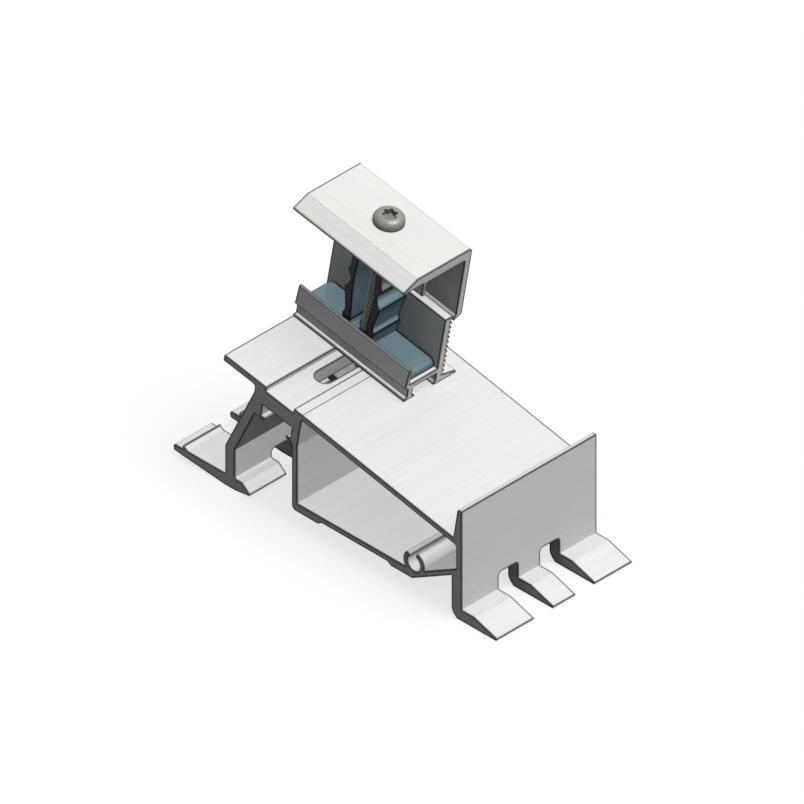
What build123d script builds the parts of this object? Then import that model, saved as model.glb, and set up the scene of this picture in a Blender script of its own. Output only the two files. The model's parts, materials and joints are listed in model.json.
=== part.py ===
from build123d import *
import os
from math import cos, radians, sin, tan

# Front foot of a flat-roof solar mounting, with its module clamp. Millimetres.
# X runs from the heel at the back to the toe at the front, Y along the extrusion, Z up.
# The origin is on the ground, in the middle of the foot.
# Side-view sizes are measured from the heel's tip and from the ground.
# Clamp sizes are measured square to the sloping ledge, and across from the screw.

# Foot, overall
foot_width = 60.0
foot_length = 143.85

# Rear sole and leg
sole_height = 4.3
heel_lift = 2.1
heel_radius = 0.7
rear_toe_reach = 6.5
rear_toe_shoulder = 3.1
toe_tip_height = 1.5
toe_tip_under = 0.9
sole_lip_start = 4.05
sole_lip_length = 1.95
sole_lip_height = 1.4
leg_start = 22.95
leg_wall = 4.15
leg_lean = 25.6
leg_top_depth = 5.17
leg_root_radius = 0.8

# Ledge that carries the module frame, with its recess and elongated hole
ledge_start = 22.575
ledge_height = 49.725
ledge_slope = 10.0
ledge_wall = 2.25
ledge_root_radius = 1.3
recess_width = 12.4
recess_depth = 1.75
bridge_wall = 5.85
slot_length = 26.1

# Nut channel under the ledge
channel_width = 13.2
channel_depth = 4.65
channel_lip_wall = 0.95
channel_lip_gap = 9.6
channel_lip_radius = 0.3
channel_front_wall = 3.35

# Box under the top plate
box_wall = 2.2
floor_height = 6.6
floor_wall = 2.0
pad_drop = 1.05
pad_ramp = 1.85
rear_pad_length = 10.3
front_pad_setback = 26.9
front_pad_length = 9.4
box_corner_radius = 1.0
plate_slope = 11.3
plate_wall = 2.0

# Screw port and strut
port_setback = 16.85
port_radius = 2.9
port_wall = 1.7
port_mouth_angle = 102.5
port_mouth_opening = 83.0
strut_slope = 29.6
strut_wall = 2.0

# Front flange, fin and toe
front_toe_reach = 15.95
front_toe_height = 4.1
front_toe_shoulder = 5.5
front_toe_tip_height = 0.7
front_toe_tip_run = 0.6
flange_wall = 4.4
flange_web_wall = 2.35
flange_bend_radius = 3.75
flange_root_radius = 1.1
fin_height = 41.85
fin_root_wall = 3.7
fin_tip_wall = 1.8
fin_tip_radius = 0.6

# Notches through both toes
notch_width = 8.6
notch_spacing = 18.4
notch_radius = 1.5
rear_notch_height = 7.5
front_notch_height = 10.35

# Screw with its nut
screw_diameter = 6.0
screw_length = 70.0
screw_chamfer = 0.7
screw_clearance = 0.1
screw_head_diameter = 10.5
screw_head_height = 3.3
screw_head_rim = 0.5
screw_head_flat = 6.2
screw_head_bulge = 0.5
socket_diameter = 5.0
socket_lobe = 1.3
socket_depth = 1.9
nut_length = 21.8
nut_thickness = 3.0
nut_side_gap = 0.3
nut_chamfer = 0.5

# Clamp, overall
clamp_length = 50.0
clamp_offset = 8.85
screw_along = 25.1
slide_gap = 0.05

# Lower half of the clamp
web_height = 4.6
web_wall = 1.8
jaw_stem_reach = 7.35
jaw_stem_wall = 2.1
jaw_foot_outer_reach = 8.6
jaw_foot_wall = 1.0
jaw_lip_height = 12.8
jaw_lip_rise = 0.9
jaw_lip_reach = 8.7
jaw_lip_top_reach = 7.95
jaw_lip_wall = 0.9
jaw_lip_radius = 0.3
comb_stem_reach = 5.2
comb_foot_reach = 14.6
comb_foot_wall = 2.7
comb_foot_edge = 1.0
comb_foot_bevel = 0.3
comb_inner_reach = 5.35
comb_wall = 2.35
tooth_depth = 1.1
tooth_pitch = 2.04
tooth_flat = 0.2
tooth_count = 12
tooth_start = 4.2
comb_cap = 0.55
jaw_tab_reach = 3.9
comb_tab_reach = 4.6
tab_wall = 1.5
tab_edge = 0.65

# Upper half of the clamp
head_height = 54.2
head_wall = 3.95
jaw_relief = 0.4
nose_reach = 17.3
nose_top_reach = 11.5
nose_tip_drop = 2.9
nose_lip_length = 2.0
nose_lip_depth = 0.4
nose_tip_radius = 0.35
rib_reach = 8.35
rib_wall = 1.2
rib_depth = 5.55
back_reach = 12.65
back_wall = 2.6
head_corner_radius = 1.25
head_inner_radius = 0.8
hook_gap = 0.12
hook_engagement = 0.5
hook_rise = 1.5
hook_drop = 0.75
hook_toe = 0.4
hook_slope = 22.0
hook_radius = 0.5

# Spring insert
insert_length = 47.0
insert_floor_wall = 3.0
insert_end_radius = 2.0
insert_side_gap = 0.15
insert_top_gap = 0.1
insert_hole_radius = 3.5
trough_radius = 3.6
trough_floor = 0.2
spring_foot_reach = 6.2
spring_heel_reach = 7.15
spring_heel_height = 5.1
spring_neck_reach = 6.35
spring_neck_height = 7.4
fold_reach = 7.95
waist_reach = 6.1
shoulder_reach = 6.85
inner_waist_reach = 4.55
inner_shoulder_reach = 4.2
first_fold = 15.6
fold_pitch = 8.3


def outline(*points):
    """Flat face inside a closed line of points, facing up whichever way they run."""
    face = Polygon(*points)
    if face.face().normal_at().Z > 0:
        return face
    return Polygon(*reversed(points))


def round_at(face, point, radius):
    """The face with the corner nearest to the point rounded."""
    corner = face.vertices().sort_by_distance((point[0], point[1], 0))[0]
    return fillet(corner, radius)


def ledge_point(along, up):
    """Side-view point at a distance along the sloping ledge and square above it."""
    slope = radians(ledge_slope)
    x = ledge_start + along * cos(slope) + up * sin(slope)
    z = ledge_height - along * sin(slope) + up * cos(slope)
    return x, z


def ledge_rectangle(start, end, bottom, top):
    """Side-view rectangle that stands square on the sloping ledge."""
    corners = ((start, bottom), (end, bottom), (end, top), (start, top))
    return outline(*[ledge_point(*corner) for corner in corners])


def crossing(first, first_angle, second, second_angle):
    """Where two side-view lines meet, each given by a point and its angle from level."""
    ax, az = cos(radians(first_angle)), sin(radians(first_angle))
    bx, bz = cos(radians(second_angle)), sin(radians(second_angle))
    dx, dz = second[0] - first[0], second[1] - first[1]
    reach = (dx * bz - dz * bx) / (ax * bz - az * bx)
    return first[0] + reach * ax, first[1] + reach * az


# Places that several members share
channel_start = screw_along - channel_width / 2
channel_end = screw_along + channel_width / 2
block_start = channel_start - leg_wall
block_end = channel_end + channel_front_wall
channel_top = -(recess_depth + bridge_wall)
channel_floor = channel_top - channel_depth
block_bottom = channel_floor - channel_lip_wall
block_foot = ledge_point(block_end, block_bottom)
plate_start = ledge_point(block_end, 0)
box_start = block_foot[0] - box_wall
flange_front = foot_length - front_toe_reach
flange_back = flange_front - flange_wall
front_pad_start = flange_back - front_pad_setback
port_start = flange_back - port_setback
strut_start = front_pad_start + front_pad_length + pad_ramp
strut_rise = strut_wall / cos(radians(strut_slope))
plate_drop = plate_wall / cos(radians(plate_slope))
flange_inner = flange_front - flange_web_wall
fin_root = flange_front - fin_root_wall
port_centre = (port_start, floor_height + floor_wall + port_radius)
web_top = web_height + web_wall
jaw_inner = jaw_lip_wall - jaw_lip_top_reach
comb_root = comb_inner_reach + comb_wall
comb_crest = comb_root + tooth_depth
last_tooth = tooth_start + (tooth_count - 1) * tooth_pitch
comb_top = last_tooth + comb_cap
head_under = head_height - head_wall


def plate_height(x):
    """Height of the top plate's upper face."""
    return plate_start[1] - (x - plate_start[0]) * tan(radians(plate_slope))


def strut_height(x):
    """Height of the strut's under face."""
    return floor_height + (x - strut_start) * tan(radians(strut_slope))


def rear_sole():
    """Sole under the leg, lifted at the heel and pointed at the toe, with a saw-tooth lip."""
    toe_tip = leg_start + leg_wall + rear_toe_reach
    shoulder = leg_start + leg_wall + rear_toe_shoulder
    sole = outline(
        (0, heel_lift),
        (leg_start, 0),
        (leg_start + leg_wall, 0),
        (toe_tip, toe_tip_under),
        (toe_tip, toe_tip_height),
        (shoulder, sole_height),
        (0, sole_height),
    )
    sole = round_at(sole, (0, sole_height), heel_radius)
    sole = round_at(sole, (0, heel_lift), heel_radius)
    sole = round_at(sole, (shoulder, sole_height), heel_radius)
    lip = outline(
        (sole_lip_start, sole_height - sole_lip_height),
        (sole_lip_start + sole_lip_length, sole_height - sole_lip_height),
        (sole_lip_start + sole_lip_length, sole_height),
        (sole_lip_start, sole_height + sole_lip_height),
    )
    return sole + lip


def leg():
    """Leg that stands upright to the knee and then leans forward up to the channel block."""
    rear_top = ledge_point(block_start, -leg_top_depth)
    knee_height = rear_top[1] - (rear_top[0] - leg_start) / tan(radians(leg_lean))
    return outline(
        (leg_start, sole_height / 2),
        (leg_start + leg_wall, sole_height / 2),
        (leg_start + leg_wall, knee_height),
        (rear_top[0] + leg_wall, rear_top[1]),
        rear_top,
        (leg_start, knee_height),
    )


def ledge():
    """Ledge at the back and the block below it that holds the recess and the nut channel."""
    shelf = ledge_rectangle(0, block_end, -ledge_wall, 0)
    block = ledge_rectangle(block_start, block_end, block_bottom, 0)
    recess = ledge_rectangle(screw_along - recess_width / 2, screw_along + recess_width / 2,
                             -recess_depth, ledge_wall)
    return shelf + block - recess


def channel():
    """Hollow of the nut channel and its mouth between the two lips."""
    hollow = ledge_rectangle(channel_start, channel_end, channel_floor, channel_top)
    mouth = ledge_rectangle(screw_along - channel_lip_gap / 2, screw_along + channel_lip_gap / 2,
                            block_bottom - channel_depth, channel_floor)
    return hollow + mouth


def top_plate():
    """Long plate that slopes down from the block to the flange."""
    back = plate_start[0] - plate_wall
    return outline(
        plate_start,
        (back, plate_height(back) - plate_drop),
        (flange_inner, plate_height(flange_inner) - plate_drop),
        (flange_inner, plate_height(flange_inner)),
    )


def box():
    """Upright rear wall and floor of the box, with a pad under each end of the floor."""
    floor_top = floor_height + floor_wall
    wall = outline(
        (box_start, floor_height),
        (block_foot[0], floor_height),
        (block_foot[0], block_foot[1] + channel_lip_wall),
        (box_start, block_foot[1] + channel_lip_wall),
    )
    rear_pad_end = box_start + pad_drop + rear_pad_length
    floor = outline(
        (box_start, floor_top),
        (box_start, floor_height),
        (box_start + pad_drop, floor_height - pad_drop),
        (rear_pad_end, floor_height - pad_drop),
        (rear_pad_end + pad_ramp, floor_height),
        (front_pad_start - pad_ramp, floor_height),
        (front_pad_start, floor_height - pad_drop),
        (front_pad_start + front_pad_length, floor_height - pad_drop),
        (strut_start, floor_height),
        (port_start, floor_top),
    )
    return wall + floor


def port_bore():
    """Round hollow of the screw port."""
    return Pos(*port_centre) * Circle(port_radius)


def screw_port():
    """C-shaped port for a thread-forming screw, with rounded ends beside its mouth."""
    ring = Circle(port_radius + port_wall) - Circle(port_radius)
    reach = 2 * (port_radius + port_wall)
    half_mouth = port_mouth_opening / 2
    edges = [port_mouth_angle - half_mouth, port_mouth_angle + half_mouth]
    mouth = outline((0, 0), *[(reach * cos(radians(a)), reach * sin(radians(a))) for a in edges])
    middle = port_radius + port_wall / 2
    ends = [Pos(middle * cos(radians(a)), middle * sin(radians(a))) * Circle(port_wall / 2) for a in edges]
    return Pos(*port_centre) * (ring - mouth + ends)


def strut():
    """Slanted strut from the floor's end up to the flange."""
    return outline(
        (strut_start, floor_height),
        (flange_inner, strut_height(flange_inner)),
        (flange_inner, strut_height(flange_inner) + strut_rise),
        (port_start, strut_height(port_start) + strut_rise),
        (port_start, floor_height),
    )


def flange():
    """Upright front flange: thick below the strut, thin behind the box, tapered as a fin on top."""
    lower = outline(
        (flange_back, 0),
        (flange_front, 0),
        (flange_front, strut_height(flange_inner)),
        (flange_inner, strut_height(flange_inner) + strut_rise / 2),
        (flange_back, strut_height(flange_back) + strut_rise / 2),
    )
    lower = round_at(lower, (flange_back, 0), flange_bend_radius)
    fin_back = flange_front - fin_tip_wall
    fin_foot = plate_height(flange_front) - plate_wall / 2
    web = outline(
        (flange_inner, front_toe_height),
        (flange_front, front_toe_height),
        (flange_front, fin_foot),
        (flange_inner, fin_foot),
    )
    fin = outline(
        (fin_root, fin_foot),
        (flange_front, fin_foot),
        (flange_front, fin_height),
        (fin_back, fin_height),
        (fin_root, plate_height(fin_root)),
    )
    fin = round_at(fin, (fin_back, fin_height), fin_tip_radius)
    return lower + web + fin


def front_toe():
    """Toe that reaches forward from the flange along the ground."""
    return outline(
        (flange_front - flange_web_wall, 0),
        (foot_length - front_toe_tip_run, 0),
        (foot_length, front_toe_tip_height),
        (flange_front + front_toe_shoulder, front_toe_height),
        (flange_front - flange_web_wall, front_toe_height),
    )


def rounded_roots(face):
    """The side view with its inner corners and the channel's lips rounded."""
    plate_under = (plate_start[0], plate_start[1] - plate_drop)
    box_corner = crossing(block_foot, 90 - ledge_slope, plate_under, -plate_slope)
    flange_corner = (flange_inner, plate_height(flange_inner) - plate_drop)
    face = round_at(face, (leg_start, sole_height), leg_root_radius)
    face = round_at(face, (leg_start + leg_wall, sole_height), leg_root_radius)
    face = round_at(face, ledge_point(block_start, -ledge_wall), ledge_root_radius)
    face = round_at(face, box_corner, box_corner_radius)
    face = round_at(face, flange_corner, flange_root_radius)
    for side in (-1, 1):
        for up in (channel_floor, block_bottom):
            lip_tip = ledge_point(screw_along + side * channel_lip_gap / 2, up)
            face = round_at(face, lip_tip, channel_lip_radius)
    return face


def foot_section():
    """Whole side view of the extrusion."""
    face = rear_sole() + leg() + ledge() + top_plate() + box() + strut() + flange() + front_toe()
    face = face - channel() - port_bore() + screw_port()
    return rounded_roots(face)


def notch(start, end, height, across):
    """Notch with rounded top corners, cut along X through a toe that stands on the ground."""
    opening = Rectangle(notch_width, 2 * height)
    top_corners = opening.vertices().group_by(Axis.Y)[-1]
    opening = fillet(top_corners, notch_radius)
    return Pos(0, across, 0) * extrude(Plane.YZ.offset(start) * opening, amount=end - start)


def ledge_frame():
    """Place on the ledge's rear edge, with X down the slope and Z square to it."""
    return Pos(ledge_start - foot_length / 2, 0, ledge_height) * Rot(0, ledge_slope, 0)


def clamp_frame():
    """Place on the ledge at the screw's axis, where the clamp's own sizes start."""
    return ledge_frame() * Pos(screw_along, clamp_offset, slide_gap)


def base_foot():
    """The foot: one extrusion with notched toes and an elongated hole for the screw."""
    heel = -foot_length / 2
    foot = extrude(Plane.XZ * Pos(heel, 0) * foot_section(), amount=foot_width / 2, both=True)
    rear_end = heel + leg_start + leg_wall + rear_toe_reach
    for side in (-1, 1):
        across = side * notch_spacing / 2
        foot -= notch(heel, rear_end, rear_notch_height, across)
        foot -= notch(heel + flange_back, -heel, front_notch_height, across)
    slot = Rot(0, 0, 90) * SlotOverall(slot_length, screw_diameter + 2 * screw_clearance)
    cut = extrude(Pos(screw_along, 0, channel_top) * slot, amount=bridge_wall)
    return foot - ledge_frame() * cut


def screw_cylinder(bottom, top, radius):
    """Cylinder on the screw's axis, between two heights of the clamp's frame."""
    return Pos(0, 0, bottom) * Cylinder(radius, top - bottom, align=(Align.CENTER, Align.CENTER, Align.MIN))


def clamp_extrusion(face):
    """Clamp section, seen from the toe, pulled out to the clamp's length."""
    return extrude(Plane.YZ * face, amount=clamp_length / 2, both=True)


def comb_line():
    """Points up the toothed side of the comb, from its first root to its top."""
    points = []
    for number in range(tooth_count):
        middle = tooth_start + number * tooth_pitch
        points.append((comb_root, middle - tooth_pitch / 2))
        points.append((comb_crest, middle - tooth_flat / 2))
        points.append((comb_crest, middle + tooth_flat / 2))
    return points[:-1] + [(comb_crest, comb_top)]


def clamp_base():
    """Lower clamp half: two feet, a web, a leaning lip towards the module and the toothed leg."""
    stem_inner = jaw_stem_wall - jaw_stem_reach
    face = outline(
        (comb_stem_reach, tab_wall),
        (comb_tab_reach, tab_edge),
        (comb_tab_reach, 0),
        (comb_foot_reach, 0),
        (comb_foot_reach - comb_foot_bevel, comb_foot_edge),
        (comb_root, comb_foot_wall),
        *comb_line(),
        (comb_inner_reach, comb_top),
        (comb_inner_reach, web_top),
        (jaw_inner, web_top),
        (jaw_inner, jaw_lip_height),
        (-jaw_lip_top_reach, jaw_lip_height),
        (-jaw_lip_reach, web_height + jaw_lip_rise),
        (-jaw_stem_reach, web_height),
        (-jaw_stem_reach, jaw_foot_wall),
        (-jaw_foot_outer_reach, jaw_foot_wall),
        (-jaw_foot_outer_reach, 0),
        (-jaw_tab_reach, 0),
        (-jaw_tab_reach, tab_edge),
        (stem_inner, tab_wall),
        (stem_inner, web_height),
        (comb_stem_reach, web_height),
    )
    face = round_at(face, (-jaw_lip_top_reach, jaw_lip_height), jaw_lip_radius)
    face = round_at(face, (-jaw_foot_outer_reach, jaw_foot_wall), jaw_lip_radius)
    hole = screw_cylinder(web_height, web_top, screw_diameter / 2 + screw_clearance)
    return clamp_frame() * (clamp_extrusion(face) - hole)


def clamp_head():
    """Upper clamp half: nose over the module frame, rib, back leg and the hook at its foot."""
    jaw = head_under + jaw_relief
    nose_tip = head_height - nose_tip_drop
    inner = back_reach - back_wall
    tip_height = last_tooth - hook_engagement * tooth_pitch
    tip_reach = comb_crest + hook_gap
    heel_reach = tip_reach + hook_toe
    heel_height = tip_height - hook_drop
    outer_foot = heel_height + (back_reach - heel_reach) * tan(radians(hook_slope))
    face = outline(
        (-nose_top_reach, head_height),
        (-nose_reach, nose_tip),
        (-nose_reach, jaw - nose_lip_depth),
        (nose_lip_length - nose_reach, jaw),
        (-rib_reach, jaw),
        (-rib_reach, jaw - rib_depth),
        (rib_wall - rib_reach, jaw - rib_depth),
        (rib_wall - rib_reach, head_under),
        (inner, head_under),
        (inner, tip_height + hook_rise),
        (tip_reach, tip_height),
        (heel_reach, heel_height),
        (back_reach, outer_foot),
        (back_reach, head_height),
    )
    face = round_at(face, (back_reach, head_height), head_corner_radius)
    face = round_at(face, (inner, head_under), head_inner_radius)
    face = round_at(face, (-nose_reach, nose_tip), nose_tip_radius)
    face = round_at(face, (-nose_reach, jaw - nose_lip_depth), nose_tip_radius)
    face = round_at(face, (back_reach, outer_foot), hook_radius)
    hole = screw_cylinder(head_under, head_height, screw_diameter / 2 + screw_clearance)
    return clamp_frame() * (clamp_extrusion(face) - hole)


def spring_half(top):
    """Half of the insert's U, from the screw's axis outwards, with its two folds."""
    waist = first_fold + fold_pitch / 2
    second_fold = first_fold + fold_pitch
    shoulder = second_fold + fold_pitch / 2
    trough_end = trough_floor + trough_radius
    outer = Spline(
        (spring_foot_reach, 0),
        (spring_heel_reach, spring_heel_height),
        (spring_neck_reach, spring_neck_height),
        (fold_reach, first_fold),
        (waist_reach, waist),
        (fold_reach, second_fold),
        (shoulder_reach, shoulder),
        tangents=[(0, 1)] * 7,
    )
    inner = Spline(
        (trough_radius, trough_end),
        (inner_waist_reach, waist),
        (inner_shoulder_reach, shoulder),
        tangents=[(0, 1)] * 3,
    )
    trough = RadiusArc((0, trough_floor), (trough_radius, trough_end), -trough_radius)
    rooted = -insert_floor_wall / 2
    foot = Polyline((0, trough_floor), (0, rooted), (spring_foot_reach, rooted), (spring_foot_reach, 0))
    rim = Polyline((shoulder_reach, shoulder), (shoulder_reach, top),
                   (inner_shoulder_reach, top), (inner_shoulder_reach, shoulder))
    return make_face([foot, outer, rim, inner, trough])


def height_insert():
    """Plastic spring between the clamp halves: a floor with rounded ends and a folded U round the screw."""
    near = jaw_inner + insert_side_gap
    far = comb_inner_reach - insert_side_gap
    floor_top = web_top + insert_floor_wall
    floor = Box(insert_length, far - near, insert_floor_wall, align=(Align.CENTER, Align.CENTER, Align.MAX))
    floor = fillet(floor.edges().filter_by(Axis.Y).group_by(Axis.Z)[-1], insert_end_radius)
    half = spring_half(head_under - insert_top_gap - floor_top)
    spring = extrude(Plane.XZ.offset(-far) * (half + mirror(half, about=Plane.YZ)), amount=far - near)
    insert = Pos(0, 0, floor_top) * (Pos(0, (near + far) / 2, 0) * floor + spring)
    insert -= screw_cylinder(web_top, floor_top + trough_radius, insert_hole_radius)
    return clamp_frame() * insert


def screw_socket():
    """Six-lobed recess in the screw's head."""
    lobe_place = (socket_diameter - socket_lobe) / 2
    star = Circle(lobe_place)
    star += [place * Circle(socket_lobe / 2) for place in PolarLocations(lobe_place, 6)]
    top = head_height + screw_head_height
    return extrude(Pos(0, 0, top - socket_depth) * star, amount=socket_depth)


def clamp_screw():
    """Button-head screw whose head bears on the clamp's upper half."""
    rim = screw_head_diameter / 2
    flat = screw_head_flat / 2
    middle = ((rim + flat) / 2, (screw_head_height + screw_head_rim) / 2)
    bulge = (middle[0] + screw_head_bulge, middle[1] + screw_head_bulge)
    dome = make_face([
        Polyline((flat, screw_head_height), (0, screw_head_height), (0, 0), (rim, 0),
                 (rim, screw_head_rim)),
        ThreePointArc((rim, screw_head_rim), bulge, (flat, screw_head_height)),
    ])
    head = Pos(0, 0, head_height) * revolve(Plane.XZ * dome, axis=Axis.Z)
    shank = screw_cylinder(head_height - screw_length, head_height, screw_diameter / 2)
    shank = chamfer(shank.edges().sort_by(Axis.Z)[0], screw_chamfer)
    return clamp_frame() * (head + shank - screw_socket())


def slot_nut():
    """Bar nut in the channel under the ledge."""
    width = channel_width - 2 * nut_side_gap
    hung = (Align.CENTER, Align.CENTER, Align.MAX)
    bar = Box(width, nut_length, nut_thickness, align=hung)
    bar = chamfer(bar.edges().filter_by(Axis.Y).group_by(Axis.Z)[0], nut_chamfer)
    bore = Cylinder(screw_diameter / 2 + slide_gap, nut_thickness, align=hung)
    return ledge_frame() * Pos(screw_along, clamp_offset, channel_top - slide_gap) * (bar - bore)


os.makedirs("parts", exist_ok=True)
pieces = {
    "base_foot": base_foot(),
    "clamp_base": clamp_base(),
    "clamp_head": clamp_head(),
    "height_insert": height_insert(),
    "clamp_screw": clamp_screw(),
    "slot_nut": slot_nut(),
}
for name, piece in pieces.items():
    export_step(piece, f"parts/{name}.step")
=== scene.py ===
import json
import math

import bpy
from mathutils import Matrix, Vector

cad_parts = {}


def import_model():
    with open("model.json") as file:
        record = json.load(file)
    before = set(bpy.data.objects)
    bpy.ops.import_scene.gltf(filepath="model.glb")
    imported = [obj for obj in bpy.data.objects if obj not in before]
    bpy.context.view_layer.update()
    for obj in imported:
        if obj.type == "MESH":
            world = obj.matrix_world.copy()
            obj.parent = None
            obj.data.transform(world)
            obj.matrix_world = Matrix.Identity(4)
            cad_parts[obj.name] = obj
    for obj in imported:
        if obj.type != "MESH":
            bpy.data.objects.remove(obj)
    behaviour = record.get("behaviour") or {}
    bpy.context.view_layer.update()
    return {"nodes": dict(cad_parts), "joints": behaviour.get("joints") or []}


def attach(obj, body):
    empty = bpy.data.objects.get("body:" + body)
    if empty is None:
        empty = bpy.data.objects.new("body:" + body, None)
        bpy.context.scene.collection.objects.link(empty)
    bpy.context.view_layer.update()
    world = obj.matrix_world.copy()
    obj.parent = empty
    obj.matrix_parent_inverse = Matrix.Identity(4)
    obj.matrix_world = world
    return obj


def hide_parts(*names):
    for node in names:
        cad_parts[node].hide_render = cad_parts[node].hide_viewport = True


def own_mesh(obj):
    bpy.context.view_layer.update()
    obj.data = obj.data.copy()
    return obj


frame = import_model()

# Looks of the solar mounting front foot. Metres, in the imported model's frame. Noise scales are per
# metre, colours are linear, and lamp spreads and shading angles are in degrees.

# View: true isometric, from the toe's side, parallel projection
VIEW_AZIMUTH = math.radians(45)
VIEW_ELEVATION = math.atan(1 / math.sqrt(2))
VIEW_WIDTH = 0.2526
VIEW_AIM = Vector((-0.00046, 0, 0.04106))
VIEW_DISTANCE = 1.0

# Floor, world and lamps
FLOOR_SIZE = 8.0
FLOOR_DROP = 0.0001
FLOOR_TONE = (0.12, 0.12, 0.12, 1.0)
WHITE = (1.0, 1.0, 1.0, 1.0)
WORLD_STRENGTH = 0.18
KEY_TOWARD = (0.45, 0.14, 0.88)
KEY_STRENGTH = 0.45
KEY_SPREAD = 30
FILL_TOWARD = (0.47, 0.14, 0.87)
FILL_STRENGTH = 2.6
FILL_SPREAD = 20

# Screw and its thread, from the underside of the head down to the point
SCREW_LENGTH = 0.070
SCREW_RADIUS = 0.003
HEAD_BOTTOM = 0.05425
THREAD_PITCH = 0.001
THREAD_DEPTH = 0.00061
THREAD_CREST = 0.14
THREAD_FLANK = 0.34
THREAD_RUNOUT = 0.0012
THREAD_STEPS = 40
THREAD_LEVELS = 8
POINT_LENGTH = 0.0007
POINT_THREAD = 0.15

# Insert: reach from the screw's axis and height over its floor of each turn of its folded sides
INSERT_FLOOR_TOP = 0.00945
INSERT_END_RADIUS = 0.002
INSERT_HOLE_RADIUS = 0.0035
INSERT_HOLE_TOP = 0.0036
SPRING_SUNK = 0.0003
FOOT = Vector((0.0062, 0))
HEEL = Vector((0.0069, 0.0050))
NECK = Vector((0.0061, 0.0074))
FOLD = Vector((0.00775, 0.0157))
WAIST = Vector((0.0058, 0.0199))
UPPER_FOLD = Vector((0.00745, 0.0234))
SHOULDER = Vector((0.0065, 0.0270))
INNER_SHOULDER = Vector((0.0042, 0.0281))
INNER_WAIST = Vector((0.00455, 0.0198))
TROUGH_RADIUS = 0.0036
TROUGH_FLOOR = 0.0002
TROUGH_CENTER = Vector((0, TROUGH_FLOOR + TROUGH_RADIUS))
TROUGH_START = TROUGH_CENTER + Vector((TROUGH_RADIUS, 0))
CORNER_CUT = 0.0004
CREST_REACH = 0.15
CREST_HEIGHT = 0.4
CURVE_STEPS = 12
HOLE_STEPS = 64

# Painted shade along the insert's sharp turns, and how far it reaches to each side
SHADED_CREASES = (HEEL, FOLD, UPPER_FOLD, TROUGH_START)
CREASE_SHADE_REACH = 0.0007
CREASE_SHADE_RANGE = (0.25, 0.6)

# Painted highlight on the insert's bends: middle of each bend, and how far the painted highlight reaches
# from it
BEND_HIGHLIGHTS = (
    (Vector((0.00636, 0.00608)), 0.0011),
    (Vector((0.00643, 0.01759)), 0.0020),
    (Vector((0.00681, 0.02502)), 0.0017),
    (Vector((0.00305, 0.00190)), 0.0016),
)

# Darker line along sharp outer edges: reach, and how open the inside is where it starts and is full
METAL_EDGE_REACH = 0.0007
NUT_EDGE_REACH = METAL_EDGE_REACH / 2
STEEL_EDGE_REACH = METAL_EDGE_REACH / 3
EDGE_RANGE = (0.96, 0.82)
TEAL_EDGE_REACH = 0.0009
TEAL_EDGE_RANGE = (0.97, 0.80)

# Painted shade in the insert's valleys: reach, and how open a place is where it starts and is full
VALLEY_SHADE_REACH = 0.0024
VALLEY_SHADE_RANGE = (0.74, 0.42)

# Witness line across the foot, where the ledge meets the top plate
WITNESS_X = -0.01483
WITNESS_WIDTH = 0.00022
WITNESS_BOTTOM = 0.0425

# Part of a noise's values that a tone or roughness runs over, and how square a cut end faces its axis
EVEN_RANGE = (0.3, 0.7)
WIDE_RANGE = (0.25, 0.75)
CLOUD_RANGE = (0.35, 0.75)
END_RANGE = (0.9, 0.98)
PROBE_SAMPLES = 8
BEVEL_SAMPLES = 6

# Aluminium: the other tones are shares of the main one
FOOT_TONE = (0.79, 0.79, 0.79)
CLAMP_TONE = (0.79, 0.79, 0.785)
METAL_DARK = 0.95
METAL_LIGHT = 1.025
METAL_CLOUD = 0.93
METAL_CLOUD_STRENGTH = 0.35
METAL_EDGE = 0.06
METAL_EDGE_STRENGTH = 0.92
DIE_LINE_SCALE = 900.0
DIE_LINE_RUN = 9.0
SAW_SCALE = 2100.0
SAW_RUN = 70.0
METAL_CLOUD_SCALE = 34.0
METAL_GRAIN_SCALE = 2600.0
METAL_GRAIN_SHARE = 0.4
METAL_ROUGHNESS = (0.36, 0.52)
METAL_SHINE = 0.25
METAL_BEVEL = 0.00025
METAL_BUMP = 0.12
METAL_BUMP_DEPTH = 0.00004

# Teal plastic, with a painted highlight on its bends and painted shade in its valleys, on its sides and
# along its creases
TEAL_DARK = (0.135, 0.21, 0.245, 1.0)
TEAL_LIGHT = (0.165, 0.25, 0.29, 1.0)
TEAL_BEND_HIGHLIGHT = (0.28, 0.40, 0.44, 1.0)
TEAL_VALLEY_SHADE = (0.03, 0.042, 0.052, 1.0)
TEAL_SIDE_SHADE = (0.05, 0.055, 0.075, 1.0)
TEAL_LINE_AND_CREASE_SHADE = (0.004, 0.006, 0.009, 1.0)
TEAL_CLOUD_SCALE = 60.0
TEAL_GRAIN_SCALE = 3800.0
TEAL_FLOW_SCALE = 240.0
TEAL_FLOW_RUN = 26.0
TEAL_FLOW_SHARE = 0.6
TEAL_ROUGHNESS = (0.26, 0.34)
TEAL_SHINE = 0.4
TEAL_BEVEL = 0.0003
TEAL_BUMP = 0.16
TEAL_BUMP_DEPTH = 0.00005

# Screw steel: depths as shares of the thread's, and heights over the head's underside
STEEL_DARK = (0.23, 0.228, 0.222, 1.0)
STEEL_LIGHT = (0.32, 0.317, 0.31, 1.0)
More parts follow.
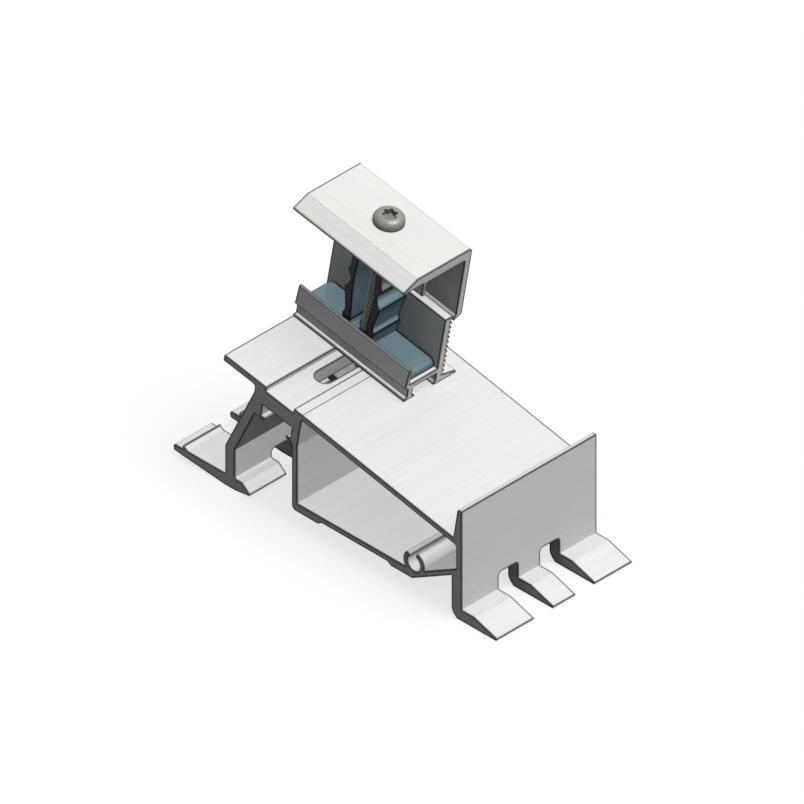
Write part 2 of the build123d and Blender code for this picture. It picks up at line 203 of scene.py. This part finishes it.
# Painted highlight on the thread's crests, then painted shade in its roots and round the bottom of the head
STEEL_CREST_HIGHLIGHT = (0.4, 0.4, 0.385, 1.0)
STEEL_ROOT_SHADE = (0.002, 0.002, 0.002, 1.0)
STEEL_RIM_SHADE = (0.035, 0.035, 0.035, 1.0)
STEEL_EDGE = (0.04, 0.04, 0.04, 1.0)
STEEL_EDGE_STRENGTH = 0.6
CREST_DEPTH = 0.1
FLANK_DEPTH = 0.25
ROOT_DEPTH = 0.4
RIM_SHADE_RANGE = (0.0005, 0.0002)
STEEL_CLOUD_SCALE = 150.0
STEEL_GRAIN_SCALE = 2400.0
STEEL_RING_SCALE = 26000.0
STEEL_RING_SHARE = 0.3
STEEL_ROUGHNESS = (0.42, 0.54)
STEEL_BUMP = 0.12
STEEL_BUMP_DEPTH = 0.00003
HEAD_METALLIC = 0.4
HEAD_SHINE = 0.35
SHANK_METALLIC = 0.0
SHANK_SHINE = 0.12

# Nut metal
NUT_DARK = (0.47, 0.44, 0.53, 1.0)
NUT_LIGHT = (0.6, 0.57, 0.63, 1.0)
NUT_EDGE = (0.08, 0.08, 0.09, 1.0)
NUT_EDGE_STRENGTH = 0.6
NUT_CLOUD_SCALE = 210.0
NUT_GRAIN_SCALE = 3000.0
NUT_ROUGHNESS = (0.35, 0.5)
NUT_METALLIC = 0.35
NUT_BUMP = 0.12
NUT_BUMP_DEPTH = 0.00004

# Meshes: angle above which an edge stays sharp, a distance that doesn't show, and points that are one
HEAD_SHARP = 35
THREAD_SHARP = 40
INSERT_SHARP = 30
EPSILON = 0.00002
WELD_REACH = 0.000005


def clamp_matrix():
    """Frame of the clamp: origin on the ledge at the screw, X down the slope, Z up the screw."""
    screw_turn = next(joint for joint in frame["joints"] if joint["name"] == "screw_turn")
    up = -Vector(screw_turn["axis"]).normalized()
    across = Vector((0, 1, 0))
    along = across.cross(up).normalized()
    turn = Matrix((along, across, up)).transposed().to_4x4()
    return Matrix.Translation(Vector(screw_turn["pos_m"])) @ turn


CLAMP = clamp_matrix()
CLAMP_UP = (CLAMP.to_3x3() @ Vector((0, 0, 1))).normalized()
NO_TURN = (0, 0, 0)
CLAMP_TURN = (0, -math.asin(CLAMP_UP.x), 0)


# Materials
class Shader:
    """The node tree of a material or a world, with short calls to add and join nodes."""

    def __init__(self, owner, output="OutputMaterial"):
        owner.use_nodes = True
        self.owner = owner
        self.tree = owner.node_tree
        self.tree.nodes.clear()
        self.output = self.add(output)

    def add(self, kind, inputs=None, **settings):
        """A node with its settings, and with a value or a link at each input that is named."""
        node = self.tree.nodes.new("ShaderNode" + kind)
        for key, value in settings.items():
            setattr(node, key, value)
        for key, value in (inputs or {}).items():
            if isinstance(value, bpy.types.NodeSocket):
                self.tree.links.new(value, node.inputs[key])
            else:
                node.inputs[key].default_value = value
        return node

    def noise(self, scale, turn=NO_TURN, detail=3.0, roughness=0.5):
        """Noise over the object, turned first, with one scale or a scale for each axis."""
        scales = scale if isinstance(scale, (tuple, list)) else (scale, scale, scale)
        place = self.add("TexCoord").outputs["Object"]
        turned = self.add("Mapping", {"Vector": place, "Rotation": turn}).outputs[0]
        scaled = self.add("Mapping", {"Vector": turned, "Scale": scales}).outputs[0]
        inputs = {"Vector": scaled, "Scale": 1.0, "Detail": detail, "Roughness": roughness}
        return self.add("TexNoise", inputs).outputs["Fac"]

    def math(self, operation, first, second=0.0):
        return self.add("Math", {0: first, 1: second}, operation=operation).outputs[0]

    def vector_math(self, operation, first, second=(0, 0, 0)):
        """Result of a vector operation, which is a number for a distance, length or dot product."""
        node = self.add("VectorMath", {0: first, 1: second}, operation=operation)
        number = operation in ("DISTANCE", "LENGTH", "DOT_PRODUCT")
        return node.outputs["Value" if number else "Vector"]

    def ramp(self, value, low, high, to_low=0.0, to_high=1.0, **settings):
        """A value's run from low to high turned into a run between two others."""
        inputs = {"Value": value, "From Min": low, "From Max": high, "To Min": to_low, "To Max": to_high}
        return self.add("MapRange", inputs, **settings).outputs[0]

    def mix_value(self, factor, first, second):
        return self.add("Mix", {0: factor, 2: first, 3: second}, data_type="FLOAT").outputs[0]

    def mix_color(self, factor, first, second):
        return self.add("Mix", {0: factor, 6: first, 7: second}, data_type="RGBA").outputs[2]

    def bump(self, height, strength, distance, bevel=None):
        """Normals from a height, on edges rounded by a bevel where one is given."""
        inputs = {"Height": height, "Strength": strength, "Distance": distance}
        if bevel is not None:
            inputs["Normal"] = self.add("Bevel", {"Radius": bevel}, samples=BEVEL_SAMPLES).outputs[0]
        return self.add("Bump", inputs).outputs["Normal"]

    def openness(self, reach, inside=False):
        """How few rays from a point meet the same piece within a reach."""
        settings = {"samples": PROBE_SAMPLES, "inside": inside, "only_local": True}
        return self.add("AmbientOcclusion", {"Distance": reach}, **settings).outputs["AO"]

    def edge(self, reach, edge_range=EDGE_RANGE):
        """1 on a sharp outer edge and 0 away from it, from how soon rays into the solid leave it."""
        return self.ramp(self.openness(reach, inside=True), *edge_range)

    def end(self, axis, turn=NO_TURN):
        """1 on faces that look along an axis of the turned object, and 0 on the others."""
        normal = self.add("TexCoord").outputs["Normal"]
        inputs = {"Vector": normal, "Rotation": turn}
        turned = self.add("Mapping", inputs, vector_type="NORMAL").outputs[0]
        facing = self.add("SeparateXYZ", {0: turned}).outputs[axis]
        return self.ramp(self.math("ABSOLUTE", facing), *END_RANGE)

    def share(self, name):
        """A number that the mesh holds at each of its points."""
        return self.add("Attribute", attribute_name=name).outputs["Fac"]

    def seen(self):
        """1 to the camera, in a mirror or through glass, and 0 where only light is passed on."""
        path = self.add("LightPath").outputs
        direct = self.math("MAXIMUM", path["Is Camera Ray"], path["Is Glossy Ray"])
        return self.math("MAXIMUM", direct, path["Is Transmission Ray"])

    def show(self, surface):
        """The owner of the tree, with this surface or background as its result."""
        self.tree.links.new(surface, self.output.inputs[0])
        return self.owner

    def finish(self, **inputs):
        """The material, as a principled surface with these inputs."""
        named = {key.replace("_", " "): value for key, value in inputs.items()}
        return self.show(self.add("BsdfPrincipled", named).outputs[0])


def toned(tone, share):
    """A share of a tone, no brighter than white."""
    return (*[min(1.0, value * share) for value in tone], 1.0)


def witness_line(shader):
    """1 on the thin line across the foot where the ledge meets the top plate."""
    place = shader.add("SeparateXYZ", {0: shader.add("TexCoord").outputs["Object"]}).outputs
    away = shader.math("ABSOLUTE", shader.math("SUBTRACT", place[0], WITNESS_X))
    line = shader.ramp(away, WITNESS_WIDTH, WITNESS_WIDTH / 2)
    return shader.math("MULTIPLY", line, shader.math("GREATER_THAN", place[2], WITNESS_BOTTOM))


def aluminium(name, tone, turn, draw_axis, witness=False):
    """Satin extruded aluminium: die lines along the extrusion and saw marks on the cut ends."""
    shader = Shader(bpy.data.materials.new(name))
    line_scales = [DIE_LINE_SCALE] * 3
    line_scales[draw_axis] = DIE_LINE_RUN
    lines = shader.noise(line_scales, turn, detail=4.0, roughness=0.6)
    clouds = shader.noise(METAL_CLOUD_SCALE, turn, detail=5.0, roughness=0.6)
    grain = shader.noise(METAL_GRAIN_SCALE, turn, detail=2.0)
    saw = shader.noise((SAW_SCALE, SAW_SCALE, SAW_RUN), turn, detail=3.0, roughness=0.7)
    pattern = shader.mix_value(shader.end(draw_axis, turn), lines, saw)
    streaks = shader.ramp(pattern, *EVEN_RANGE)
    color = shader.mix_color(streaks, toned(tone, METAL_DARK), toned(tone, METAL_LIGHT))
    clouds = shader.ramp(clouds, *CLOUD_RANGE, 0.0, METAL_CLOUD_STRENGTH)
    color = shader.mix_color(clouds, color, toned(tone, METAL_CLOUD))
    edge = shader.edge(METAL_EDGE_REACH)
    if witness:
        edge = shader.math("MAXIMUM", edge, witness_line(shader))
    edge = shader.math("MULTIPLY", edge, METAL_EDGE_STRENGTH)
    color = shader.mix_color(edge, color, toned(tone, METAL_EDGE))
    rough = shader.ramp(pattern, *WIDE_RANGE, *METAL_ROUGHNESS)
    height = shader.math("ADD", pattern, shader.math("MULTIPLY", grain, METAL_GRAIN_SHARE))
    normal = shader.bump(height, METAL_BUMP, METAL_BUMP_DEPTH, METAL_BEVEL)
    return shader.finish(Base_Color=color, Roughness=rough, Normal=normal, Specular_IOR_Level=METAL_SHINE)


def teal_plastic():
    """Moulded teal plastic with a painted highlight on its bends, and painted shade in its valleys and
    creases and on its sides.
    """
    shader = Shader(bpy.data.materials.new("teal_plastic"))
    clouds = shader.noise(TEAL_CLOUD_SCALE, detail=4.0)
    grain = shader.noise(TEAL_GRAIN_SCALE, detail=2.0)
    flow = shader.noise((TEAL_FLOW_SCALE, TEAL_FLOW_SCALE, TEAL_FLOW_RUN))
    color = shader.mix_color(shader.ramp(clouds, *EVEN_RANGE), TEAL_DARK, TEAL_LIGHT)
    # Painted highlight on the bends
    bend_highlight = shader.ramp(shader.share("bend_highlight"), 0.0, 1.0, interpolation_type="SMOOTHSTEP")
    color = shader.mix_color(bend_highlight, color, TEAL_BEND_HIGHLIGHT)
    # Painted shade in the valleys
    valley_shade = shader.ramp(shader.openness(VALLEY_SHADE_REACH), *VALLEY_SHADE_RANGE)
    color = shader.mix_color(valley_shade, color, TEAL_VALLEY_SHADE)
    # Painted shade on the sides that face across the clamp
    color = shader.mix_color(shader.end(1), color, TEAL_SIDE_SHADE)
    # Painted shade along the creases, and dark lines along sharp edges
    crease_shade = shader.ramp(shader.share("crease_shade"), *CREASE_SHADE_RANGE)
    edge = shader.edge(TEAL_EDGE_REACH, TEAL_EDGE_RANGE)
    color = shader.mix_color(shader.math("MAXIMUM", edge, crease_shade), color, TEAL_LINE_AND_CREASE_SHADE)
    rough = shader.ramp(flow, *EVEN_RANGE, *TEAL_ROUGHNESS)
    height = shader.math("ADD", grain, shader.math("MULTIPLY", flow, TEAL_FLOW_SHARE))
    normal = shader.bump(height, TEAL_BUMP, TEAL_BUMP_DEPTH, TEAL_BEVEL)
    return shader.finish(Base_Color=color, Roughness=rough, Normal=normal, Specular_IOR_Level=TEAL_SHINE)


def screw_steel(name, metallic, shine):
    """Stainless steel with faint turning rings, painted shade round the bottom of the head, and a painted
    highlight on the thread's crests with painted shade in its roots.
    """
    shader = Shader(bpy.data.materials.new(name))
    clouds = shader.noise(STEEL_CLOUD_SCALE, detail=4.0)
    grain = shader.noise(STEEL_GRAIN_SCALE, detail=2.0)
    place = shader.add("TexCoord").outputs["Object"]
    under_head = tuple(CLAMP @ Vector((0, 0, HEAD_BOTTOM)))
    rings = shader.vector_math("DISTANCE", place, under_head)
    rings = shader.math("SINE", shader.math("MULTIPLY", rings, STEEL_RING_SCALE))
    offset = shader.vector_math("SUBTRACT", place, under_head)
    radius = shader.vector_math("LENGTH", shader.vector_math("CROSS_PRODUCT", offset, tuple(CLAMP_UP)))
    above = shader.vector_math("DOT_PRODUCT", offset, tuple(CLAMP_UP))
    in_head = shader.ramp(above, 0.0, EPSILON)
    in_shank = shader.ramp(above, 0.0, -EPSILON)
    at_crest = SCREW_RADIUS - THREAD_DEPTH * CREST_DEPTH
    at_flank = SCREW_RADIUS - THREAD_DEPTH * FLANK_DEPTH
    at_root = SCREW_RADIUS - THREAD_DEPTH * ROOT_DEPTH
    color = shader.mix_color(shader.ramp(clouds, *EVEN_RANGE), STEEL_DARK, STEEL_LIGHT)
    # Painted shade round the bottom of the head, painted highlight on the thread's crests, painted shade in
    # its roots, and dark lines along sharp edges
    for reached, where, tone in (
        (shader.ramp(above, *RIM_SHADE_RANGE), in_head, STEEL_RIM_SHADE),
        (shader.ramp(radius, at_flank, at_crest), in_shank, STEEL_CREST_HIGHLIGHT),
        (shader.ramp(radius, at_flank, at_root), in_shank, STEEL_ROOT_SHADE),
        (shader.edge(STEEL_EDGE_REACH), STEEL_EDGE_STRENGTH, STEEL_EDGE),
    ):
        color = shader.mix_color(shader.math("MULTIPLY", reached, where), color, tone)
    rough = shader.ramp(grain, *EVEN_RANGE, *STEEL_ROUGHNESS)
    height = shader.math("ADD", grain, shader.math("MULTIPLY", rings, STEEL_RING_SHARE))
    normal = shader.bump(height, STEEL_BUMP, STEEL_BUMP_DEPTH)
    return shader.finish(
        Base_Color=color, Metallic=metallic, Roughness=rough, Normal=normal, Specular_IOR_Level=shine)


def nut_metal():
    """Zinc-plated steel with a faint lilac passivation."""
    shader = Shader(bpy.data.materials.new("nut_metal"))
    clouds = shader.noise(NUT_CLOUD_SCALE, detail=5.0, roughness=0.65)
    grain = shader.noise(NUT_GRAIN_SCALE, detail=2.0)
    color = shader.mix_color(shader.ramp(clouds, *EVEN_RANGE), NUT_DARK, NUT_LIGHT)
    edge = shader.math("MULTIPLY", shader.edge(NUT_EDGE_REACH), NUT_EDGE_STRENGTH)
    color = shader.mix_color(edge, color, NUT_EDGE)
    rough = shader.ramp(clouds, *EVEN_RANGE, *NUT_ROUGHNESS)
    normal = shader.bump(grain, NUT_BUMP, NUT_BUMP_DEPTH)
    return shader.finish(Base_Color=color, Metallic=NUT_METALLIC, Roughness=rough, Normal=normal)


# Meshes
def assign(piece, material):
    """Give every face of a piece the one material."""
    piece.data.materials.clear()
    piece.data.materials.append(material)


def new_object(name, vertices, faces):
    """A mesh object made of points and faces."""
    mesh = bpy.data.meshes.new(name)
    mesh.from_pydata(vertices, [], faces)
    mesh.validate()
    made = bpy.data.objects.new(name, mesh)
    bpy.context.scene.collection.objects.link(made)
    return made


def new_piece(name, vertices, faces, body, material):
    """A mesh piece that rides on a body."""
    piece = new_object(name, vertices, faces)
    assign(piece, material)
    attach(piece, body)
    return piece


def shade_by_angle(piece, degrees):
    """Smooth shading with sharp edges above an angle."""
    bpy.context.view_layer.objects.active = piece
    piece.select_set(True)
    bpy.ops.object.shade_smooth_by_angle(angle=math.radians(degrees))
    piece.select_set(False)


def apply_modifier(piece, kind, **settings):
    """Change a piece's mesh with a modifier."""
    modifier = piece.modifiers.new(kind.lower(), kind)
    for key, value in settings.items():
        setattr(modifier, key, value)
    bpy.context.view_layer.objects.active = piece
    bpy.ops.object.modifier_apply(modifier=modifier.name)


def weld(piece):
    """Join the points that a mesh repeats along its edges."""
    apply_modifier(piece, "WELD", merge_threshold=WELD_REACH)


# Screw
def screw_head(material):
    """The head as in the CAD: the faces of the screw above the head's underside."""
    source = frame["nodes"]["clamp_screw"].data
    to_clamp = CLAMP.inverted()
    places = {}
    vertices = []
    faces = []
    for polygon in source.polygons:
        if (to_clamp @ polygon.center).z <= HEAD_BOTTOM - EPSILON:
            continue
        for index in polygon.vertices:
            if index not in places:
                places[index] = len(vertices)
                vertices.append(source.vertices[index].co.copy())
        faces.append([places[index] for index in polygon.vertices])
    head = new_piece("screw_head", vertices, faces, "screw", material)
    weld(head)
    shade_by_angle(head, HEAD_SHARP)
    return head


def thread_radius(share, depth):
    """Radius at a share of one pitch: crest, flank, root, flank."""
    if share < THREAD_CREST:
        return SCREW_RADIUS
    if share < THREAD_CREST + THREAD_FLANK:
        return SCREW_RADIUS - depth * (share - THREAD_CREST) / THREAD_FLANK
    if share < 1 - THREAD_FLANK:
        return SCREW_RADIUS - depth
    return SCREW_RADIUS - depth * (1 - share) / THREAD_FLANK


def shank_radius(drop, turn):
    """Radius at a drop below the head and a share of a turn round the screw."""
    share = (drop / THREAD_PITCH + turn) % 1.0
    fade = min(1.0, drop / THREAD_RUNOUT, (SCREW_LENGTH - drop) / THREAD_PITCH + POINT_THREAD)
    radius = thread_radius(share, THREAD_DEPTH * fade)
    into_point = drop - (SCREW_LENGTH - POINT_LENGTH)
    return min(radius, SCREW_RADIUS - into_point) if into_point > 0 else radius


def threaded_shank(material):
    """Shank with a real helical thread, from the head down to its pointed end."""
    levels = int(SCREW_LENGTH / THREAD_PITCH * THREAD_LEVELS)
    vertices = []
    for level in range(levels + 1):
        drop = level * SCREW_LENGTH / levels
        for step in range(THREAD_STEPS):
            turn = step / THREAD_STEPS
            radius = shank_radius(drop, turn)
            angle = 2 * math.pi * turn
            point = Vector((radius * math.cos(angle), radius * math.sin(angle), HEAD_BOTTOM - drop))
            vertices.append(CLAMP @ point)
    faces = []
    for level in range(levels):
        for step in range(THREAD_STEPS):
            near = level * THREAD_STEPS + step
            beside = level * THREAD_STEPS + (step + 1) % THREAD_STEPS
            faces.append((near, near + THREAD_STEPS, beside + THREAD_STEPS, beside))
    faces.append([levels * THREAD_STEPS + step for step in reversed(range(THREAD_STEPS))])
    shank = new_piece("screw_thread", vertices, faces, "screw", material)
    shade_by_angle(shank, THREAD_SHARP)
    return shank


def screw():
    """Screw head as in the CAD, with the threaded shank in place of the plain one."""
    head_steel = screw_steel("screw_steel", HEAD_METALLIC, HEAD_SHINE)
    shank_steel = screw_steel("thread_steel", SHANK_METALLIC, SHANK_SHINE)
    for piece in (screw_head(head_steel), threaded_shank(shank_steel)):
        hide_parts("clamp_screw")


# Insert: its outlines are points of reach from the screw's axis and height over the insert's floor
def shares_of_curve():
    """Even shares of a curve's run, from 0 to 1."""
    return [step / CURVE_STEPS for step in range(CURVE_STEPS + 1)]


def bent(start, control, end):
    """Points on a curve that leaves its start and reaches its end in the direction of a third point."""
    return [start * (1 - s) ** 2 + control * 2 * s * (1 - s) + end * s ** 2 for s in shares_of_curve()]


def eased(start, end):
    """Smooth run between two heights that leaves and arrives upright."""
    change = end - start
    return [start + Vector((change.x * (3 - 2 * s) * s * s, change.y * s)) for s in shares_of_curve()]


def arc(center, radius, start, end):
    """Points on an arc between two angles in degrees."""
    angles = [math.radians(start + (end - start) * s) for s in shares_of_curve()]
    return [center + radius * Vector((math.cos(angle), math.sin(angle))) for angle in angles]


def crest(below, corner, neck):
    """Rounded lower corner of a fold and its flared upper side, up to the neck above it."""
    side = corner.x - neck.x
    rise = neck.y - corner.y
    control = Vector((neck.x + CREST_REACH * side, corner.y + CREST_HEIGHT * rise))
    before = corner + CORNER_CUT * (below - corner).normalized()
    after = corner + CORNER_CUT * (control - corner).normalized()
    return bent(before, corner, after) + bent(after, control, neck)[1:]


def mirrored(half):
    """A half outline closed by its mirror image."""
    return half + [Vector((-point.x, point.y)) for point in reversed(half)]


def spring_outline(top):
    """Outline of the folded U, up to a height over the insert's floor."""
    folds = crest(FOOT, HEEL, NECK) + crest(NECK, FOLD, WAIST) + crest(WAIST, UPPER_FOLD, SHOULDER)
    outer = [Vector((FOOT.x, -SPRING_SUNK)), FOOT] + folds
    rim = [Vector((SHOULDER.x, top)), Vector((INNER_SHOULDER.x, top))]
    inner = eased(INNER_SHOULDER, INNER_WAIST) + eased(INNER_WAIST, TROUGH_START)[1:-1]
    inner += [TROUGH_START + Vector((0, CREASE_SHADE_REACH)), TROUGH_START]
    trough = arc(TROUGH_CENTER, TROUGH_RADIUS, 0, -90)[1:-1]
    return mirrored(outer + rim + inner + trough)


def floor_outline(half_length, bottom):
    """Outline of the insert's floor with its rounded upper ends."""
    center = Vector((half_length - INSERT_END_RADIUS, -INSERT_END_RADIUS))
    return mirrored([Vector((half_length, bottom))] + arc(center, INSERT_END_RADIUS, 0, 90))


def nearness(point, places):
    """1 on a place of a half outline or its mirror image, down to 0 at the end of the place's reach."""
    half = Vector((abs(point.x), point.y))
    return max(0.0, *(1 - (half - place).length / reach for place, reach in places))


def prism_faces(count):
    """Faces of a solid between two like loops of points: its sides and its two ends."""
    turned = [(index + 1) % count for index in range(count)]
    sides = [(index, after, count + after, count + index) for index, after in enumerate(turned)]
    return sides + [tuple(reversed(range(count))), tuple(range(count, 2 * count))]


def insert_piece(name, outline, near, far, material):
    """Solid of an outline between two places across the clamp, with its shares of painted crease shade and
    painted bend highlight marked.
    """
    vertices = [CLAMP @ Vector((point.x, across, INSERT_FLOOR_TOP + point.y))
                for across in (near, far) for point in outline]
    piece = new_piece(name, vertices, prism_faces(len(outline)), "carriage", material)
    # Shares of painted shade along the creases and of painted highlight on the bends
    marks = {"crease_shade": [(turn, CREASE_SHADE_REACH) for turn in SHADED_CREASES], "bend_highlight": BEND_HIGHLIGHTS}
    for mark, places in marks.items():
        shares = piece.data.attributes.new(mark, "FLOAT", "POINT")
        shares.data.foreach_set("value", [nearness(point, places) for point in outline] * 2)
    return piece


def hole_cutter(bottom):
    """Round solid that cuts the screw's hole in the insert, from a height in the clamp's frame."""
    angles = [2 * math.pi * step / HOLE_STEPS for step in range(HOLE_STEPS)]
    points = [INSERT_HOLE_RADIUS * Vector((math.cos(angle), math.sin(angle))) for angle in angles]
    heights = (bottom, INSERT_FLOOR_TOP + INSERT_HOLE_TOP)
    vertices = [CLAMP @ Vector((point.x, point.y, height)) for height in heights for point in points]
    return new_object("cutter", vertices, prism_faces(HOLE_STEPS))


def clamp_box(node):
    """Lowest and highest corners of a CAD node in the clamp's frame."""
    to_clamp = CLAMP.inverted()
    corners = [to_clamp @ vertex.co for vertex in frame["nodes"][node].data.vertices]
    lowest = Vector([min(corner[axis] for corner in corners) for axis in range(3)])
    highest = Vector([max(corner[axis] for corner in corners) for axis in range(3)])
    return lowest, highest


def insert(material):
    """Insert in two pieces: the floor and the folded sides, both riding on the carriage."""
    lowest, highest = clamp_box("height_insert")
    floor = floor_outline(highest.x, lowest.z - INSERT_FLOOR_TOP)
    spring = spring_outline(highest.z - INSERT_FLOOR_TOP)
    cutter = hole_cutter(lowest.z - SPRING_SUNK)
    pieces = [insert_piece(name, outline, lowest.y, highest.y, material)
              for name, outline in (("insert_floor", floor), ("insert_spring", spring))]
    for piece in pieces:
        apply_modifier(piece, "BOOLEAN", operation="DIFFERENCE", solver="EXACT", object=cutter)
        weld(piece)
        shade_by_angle(piece, INSERT_SHARP)
        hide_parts("height_insert")
    bpy.data.objects.remove(cutter)
    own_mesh(pieces[1])


# Studio
def white_floor():
    """Pale floor that looks white and sends little light back up."""
    shader = Shader(bpy.data.materials.new("floor"))
    color = shader.mix_color(shader.seen(), FLOOR_TONE, WHITE)
    half = FLOOR_SIZE / 2
    corners = [(x, y, -FLOOR_DROP) for x, y in ((-half, -half), (half, -half), (half, half), (-half, half))]
    floor = new_object("floor", corners, [(0, 1, 2, 3)])
    assign(floor, shader.show(shader.add("BsdfDiffuse", {"Color": color}).outputs[0]))


def world():
    """Weak even light, and white to the camera and to mirrors."""
    studio = bpy.data.worlds.new("studio")
    bpy.context.scene.world = studio
    shader = Shader(studio, "OutputWorld")
    dim = shader.add("Background", {"Color": WHITE, "Strength": WORLD_STRENGTH}).outputs[0]
    white = shader.add("Background", {"Color": WHITE}).outputs[0]
    shader.show(shader.add("MixShader", {0: shader.seen(), 1: dim, 2: white}).outputs[0])


def sun(name, toward, strength, spread, fill=False):
    """Sun lamp that shines from a direction: with soft shadows, or as a fill without shadow or bounce."""
    lamp = bpy.data.lights.new(name, "SUN")
    lamp.energy = strength
    lamp.angle = math.radians(spread)
    if fill:
        lamp.use_shadow = False
        lamp.cycles.max_bounces = 0
    holder = bpy.data.objects.new(name, lamp)
    holder.rotation_euler = Vector(toward).to_track_quat("Z", "Y").to_euler()
    bpy.context.scene.collection.objects.link(holder)


def camera():
    """Parallel camera at the photograph's angle and scale."""
    data = bpy.data.cameras.new("camera")
    data.type = "ORTHO"
    data.ortho_scale = VIEW_WIDTH
    flat = math.cos(VIEW_ELEVATION)
    east = flat * math.sin(VIEW_AZIMUTH)
    south = flat * math.cos(VIEW_AZIMUTH)
    away = Vector((east, -south, math.sin(VIEW_ELEVATION)))
    holder = bpy.data.objects.new("camera", data)
    holder.location = VIEW_AIM + away * VIEW_DISTANCE
    holder.rotation_euler = away.to_track_quat("Z", "Y").to_euler()
    bpy.context.scene.collection.objects.link(holder)
    bpy.context.scene.camera = holder


foot_metal = aluminium("mill_aluminium", FOOT_TONE, NO_TURN, 1, witness=True)
clamp_metal = aluminium("clamp_aluminium", CLAMP_TONE, CLAMP_TURN, 0)
assign(frame["nodes"]["base_foot"], foot_metal)
assign(frame["nodes"]["clamp_base"], clamp_metal)
assign(frame["nodes"]["clamp_head"], clamp_metal)
assign(frame["nodes"]["slot_nut"], nut_metal())
screw()
insert(teal_plastic())
white_floor()
world()
sun("key", KEY_TOWARD, KEY_STRENGTH, KEY_SPREAD)
sun("fill", FILL_TOWARD, FILL_STRENGTH, FILL_SPREAD, fill=True)
camera()

bpy.context.scene.view_settings.view_transform = "Standard"
